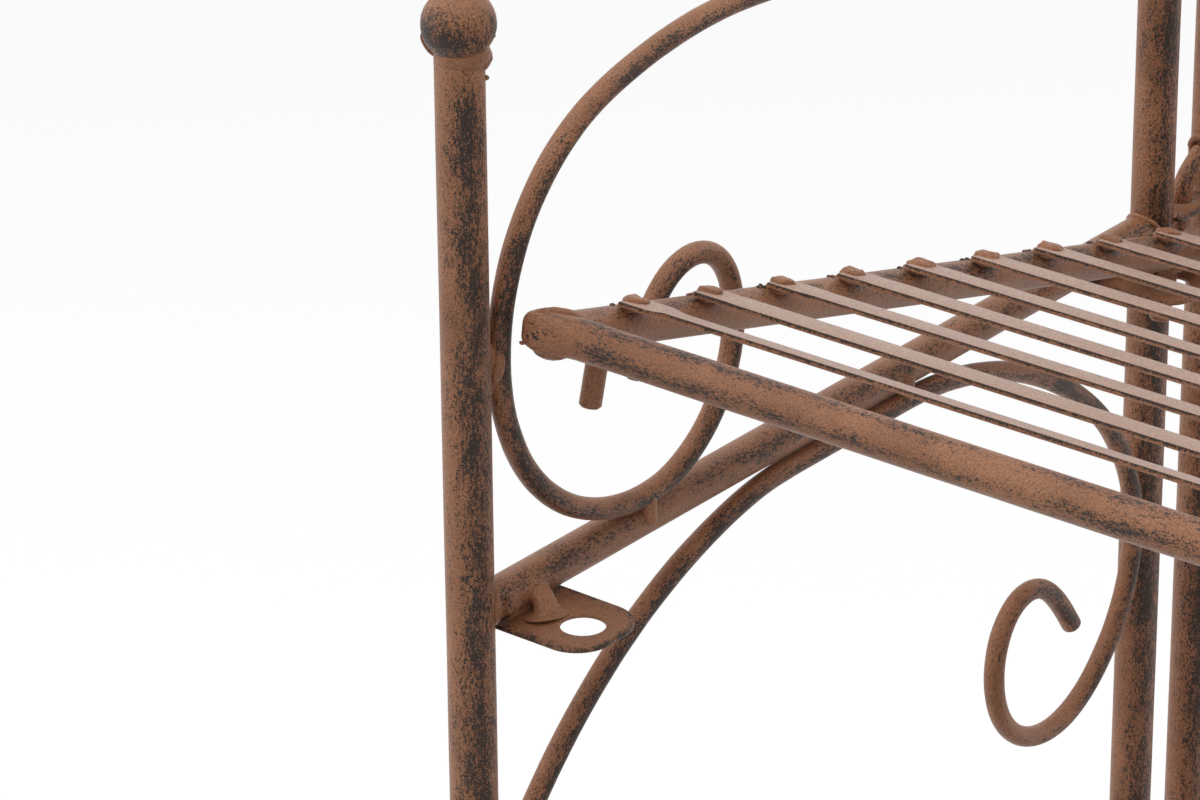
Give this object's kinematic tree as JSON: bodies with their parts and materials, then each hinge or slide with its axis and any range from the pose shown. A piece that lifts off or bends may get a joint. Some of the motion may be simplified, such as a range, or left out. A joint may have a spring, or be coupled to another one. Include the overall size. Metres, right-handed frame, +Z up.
{
  "type": "plant rack",
  "caption": "Free-standing folding plant rack of round tube with scrolled side frames, ball finials and lift-out slatted trays held by pins in tabs.",
  "frame": {"origin": "on the floor, midway between the side frames and midway in depth", "axes": "+X to the right seen from the front, +Y to the back, +Z up"},
  "size_m": [0.5974, 0.3448, 1.0216],
  "materials": {
    "post_paint": "matt",
    "rail_paint": "matt",
    "wire_paint": "matt",
    "plate_paint": "matt",
    "slat_paint": "matt",
    "foot_plastic": "matt"
  },
  "bodies": {
    "rack": {"left_front_post": "post_paint", "left_front_ball": "post_paint", "left_front_foot": "foot_plastic", "left_rear_post": "post_paint", "left_rear_ball": "post_paint", "left_rear_foot": "foot_plastic", "left_rail_bottom": "rail_paint", "left_tab_front_bottom": "plate_paint", "left_tab_rear_bottom": "plate_paint", "left_rail_middle": "rail_paint", "left_tab_front_middle": "plate_paint", "left_tab_rear_middle": "plate_paint", "left_hanging_scroll_middle": "wire_paint", "left_rail_top": "rail_paint", "left_tab_front_top": "plate_paint", "left_tab_rear_top": "plate_paint", "left_hanging_scroll_top": "wire_paint", "left_standing_scroll": "wire_paint", "left_lug_lower": "plate_paint", "left_lug_upper": "plate_paint", "right_front_post": "post_paint", "right_front_ball": "post_paint", "right_front_foot": "foot_plastic", "right_rear_post": "post_paint", "right_rear_ball": "post_paint", "right_rear_foot": "foot_plastic", "right_rail_bottom": "rail_paint", "right_tab_front_bottom": "plate_paint", "right_tab_rear_bottom": "plate_paint", "right_rail_middle": "rail_paint", "right_tab_front_middle": "plate_paint", "right_tab_rear_middle": "plate_paint", "right_hanging_scroll_middle": "wire_paint", "right_rail_top": "rail_paint", "right_tab_front_top": "plate_paint", "right_tab_rear_top": "plate_paint", "right_hanging_scroll_top": "wire_paint", "right_standing_scroll": "wire_paint", "right_lug_lower": "plate_paint", "right_lug_upper": "plate_paint", "back_rail_bottom": "rail_paint", "back_rail_middle": "rail_paint", "back_rail_top": "rail_paint", "back_arch": "rail_paint", "back_left_post": "post_paint", "back_left_ball": "post_paint", "back_left_foot": "foot_plastic", "back_left_pintle_lower": "wire_paint", "back_left_pintle_upper": "wire_paint", "back_right_post": "post_paint", "back_right_ball": "post_paint", "back_right_foot": "foot_plastic", "back_right_pintle_lower": "wire_paint", "back_right_pintle_upper": "wire_paint"},
    "bottom_tray": {"bottom_tray_frame": "rail_paint", "bottom_tray_slats": "slat_paint"},
    "middle_tray": {"middle_tray_frame": "rail_paint", "middle_tray_slats": "slat_paint"},
    "top_tray": {"top_tray_frame": "rail_paint", "top_tray_slats": "slat_paint"}
  },
  "joints": [
    {"name": "bottom_tray_lift", "type": "hinge", "parent": "rack", "child": "bottom_tray", "pos_m": [0, 0.127, 0.10465], "axis": [-1, 0, 0], "range_deg": [0, 28]},
    {"name": "middle_tray_lift", "type": "hinge", "parent": "rack", "child": "middle_tray", "pos_m": [0, 0.127, 0.42465], "axis": [-1, 0, 0], "range_deg": [0, 28]},
    {"name": "top_tray_lift", "type": "hinge", "parent": "rack", "child": "top_tray", "pos_m": [0, 0.127, 0.74465], "axis": [-1, 0, 0], "range_deg": [-15, 13]}
  ]
}
